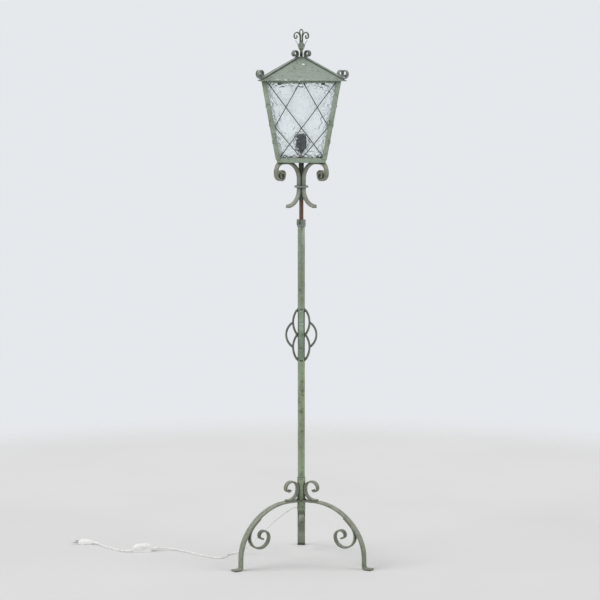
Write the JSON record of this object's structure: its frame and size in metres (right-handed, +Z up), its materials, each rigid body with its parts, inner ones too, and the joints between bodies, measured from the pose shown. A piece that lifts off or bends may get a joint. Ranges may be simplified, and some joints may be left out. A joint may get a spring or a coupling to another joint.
{
  "type": "lantern floor lamp",
  "caption": "Wrought-iron floor lamp: scrolled tripod base, post with a sliding rod, and a square glazed lantern with a hipped roof and finial.",
  "frame": {"origin": "the point of the floor under the axis of the post", "axes": "+Z up along the post, -Y towards the viewer, +X to the viewer's right"},
  "size_m": [0.9512, 0.3944, 1.6309],
  "materials": {
    "base_iron": "worn satin paint",
    "collar_iron": "worn satin paint",
    "rusty_rod": "rusty, unpainted",
    "carrier_green": "satin paint",
    "lantern_iron": "worn matt paint",
    "dark_wire": "matt",
    "old_glass": "streaked and dusty",
    "roof_paint": "worn matt paint",
    "plain_steel": "satin",
    "black_plastic": "satin",
    "porcelain": "gloss",
    "brass": "satin",
    "white_lead": "satin",
    "white_plastic": "gloss"
  },
  "bodies": {
    "stand": {"leg_rear": "base_iron", "leg_left": "base_iron", "leg_right": "base_iron", "inner_scroll_rear": "base_iron", "inner_scroll_left": "base_iron", "inner_scroll_right": "base_iron", "top_scroll_rear": "base_iron", "top_scroll_left": "base_iron", "top_scroll_right": "base_iron", "base_sleeve": "base_iron", "pole_tube": "base_iron", "ornament_front": "base_iron", "ornament_right": "base_iron", "ornament_rear": "base_iron", "ornament_left": "base_iron", "pole_collar": "collar_iron", "cord_bush": "white_plastic", "pole_flex": "white_lead", "cord_lead": "white_lead", "switch_lower_shell": "white_plastic", "switch_upper_shell": "white_plastic", "cord_tail": "white_lead", "plug_body": "white_plastic", "plug_pins": "plain_steel"},
    "rod": {"rod_tube": "rusty_rod", "rod_guide": "plain_steel", "rod_flex": "white_lead", "nipple": "plain_steel", "washer": "plain_steel", "locknut": "plain_steel", "holder_cap": "black_plastic", "holder_shell": "black_plastic", "holder_insulator": "porcelain", "screw_shell": "brass", "centre_contact": "brass"},
    "lantern": {"lantern_socket": "carrier_green", "brackets": "lantern_iron", "bracket_ring": "lantern_iron", "floor_plate": "lantern_iron", "bottom_rail": "lantern_iron", "top_rail": "lantern_iron", "posts": "lantern_iron", "lattice_front": "dark_wire", "lattice_right": "dark_wire", "lattice_rear": "dark_wire", "lattice_left": "dark_wire", "glass_front": "old_glass", "glass_right": "old_glass", "glass_rear": "old_glass", "glass_left": "old_glass", "glass_clips": "dark_wire"},
    "roof": {"roof_sheet": "roof_paint", "hip_straps": "lantern_iron", "roof_lugs": "lantern_iron", "finial_cup": "lantern_iron", "finial_wires": "lantern_iron", "finial_nut": "plain_steel"},
    "clamp_screw": {"clamp_screw": "collar_iron"},
    "switch_rocker": {"switch_rocker": "white_plastic"}
  },
  "joints": [
    {"name": "mast_height", "type": "slide", "parent": "stand", "child": "rod", "axis": [0, 0, 1], "range_m": [-0.045, 0.3]},
    {"name": "lantern_swivel", "type": "hinge", "parent": "rod", "child": "lantern", "pos_m": [0, 0, 1.2325], "axis": [0, 0, 1], "range_deg": [-170, 170]},
    {"name": "roof_lift", "type": "slide", "parent": "lantern", "child": "roof", "axis": [0, 0, 1], "range_m": [0, 0.15]},
    {"name": "clamp_screw_turn", "type": "hinge", "parent": "stand", "child": "clamp_screw", "pos_m": [0, 0, 1.0517], "axis": [-0.5, -0.866, 0], "range_deg": [0, 360]},
    {"name": "switch_rocker", "type": "hinge", "parent": "stand", "child": "switch_rocker", "pos_m": [-0.49864, 0.12917, 0.0215], "axis": [-0.2334, 0.9724, 0], "range_deg": [0, 12]}
  ]
}
